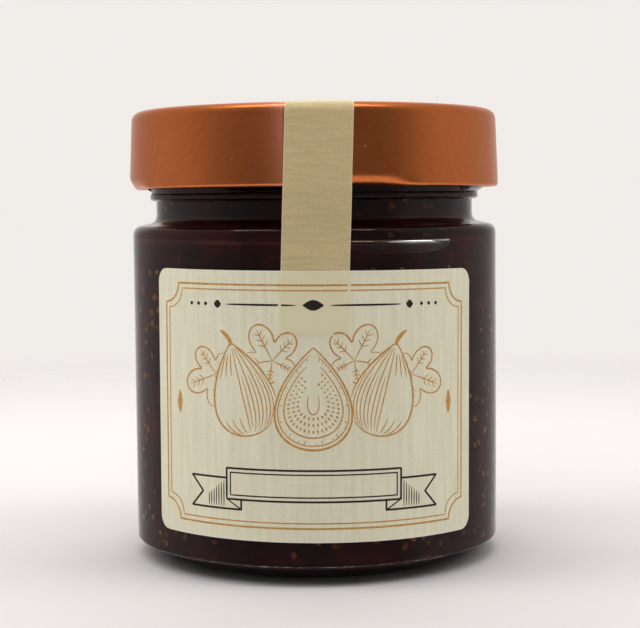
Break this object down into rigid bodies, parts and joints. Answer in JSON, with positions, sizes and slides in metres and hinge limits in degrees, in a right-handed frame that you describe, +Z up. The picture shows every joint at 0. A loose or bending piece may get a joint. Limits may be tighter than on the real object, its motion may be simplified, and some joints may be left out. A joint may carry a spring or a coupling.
{
  "type": "jar of fig jam",
  "caption": "Straight-sided glass jar of dark fig jam with a deep copper-coloured twist-off lid, a wraparound front label and a paper seal over the lid.",
  "frame": {"origin": "middle of the foot ring, on the plane that the jar stands on", "axes": "+Z up along the jar's axis, -Y out of the label, +X to the right of someone facing the label"},
  "size_m": [0.0852, 0.0854, 0.1019],
  "materials": {
    "flint_glass": "polished",
    "fig_jam": "gloss",
    "copper_lacquer": "satin",
    "sealing_compound": "matte",
    "label_paper": "matte",
    "seal_paper": "matte"
  },
  "bodies": {
    "jar": {"glass_jar": "flint_glass", "fig_jam": "fig_jam", "front_label": "label_paper", "seal_strip_jar": "seal_paper"},
    "gasket": {"lid_gasket": "sealing_compound"},
    "lid": {"lid": "copper_lacquer", "seal_strip_lid": "seal_paper"}
  },
  "joints": [
    {"name": "lid_rise", "type": "slide", "parent": "jar", "child": "gasket", "axis": [0, 0, 1], "range_m": [0, 0.00121]},
    {"name": "lid_turn", "type": "hinge", "parent": "gasket", "child": "lid", "pos_m": [0, 0, 0.093], "axis": [0, 0, 1], "range_deg": [0, 36]}
  ],
  "couplings": [
    {"joint": "lid_rise", "follows": "lid_turn", "m_per_rad": 0.0019099}
  ]
}
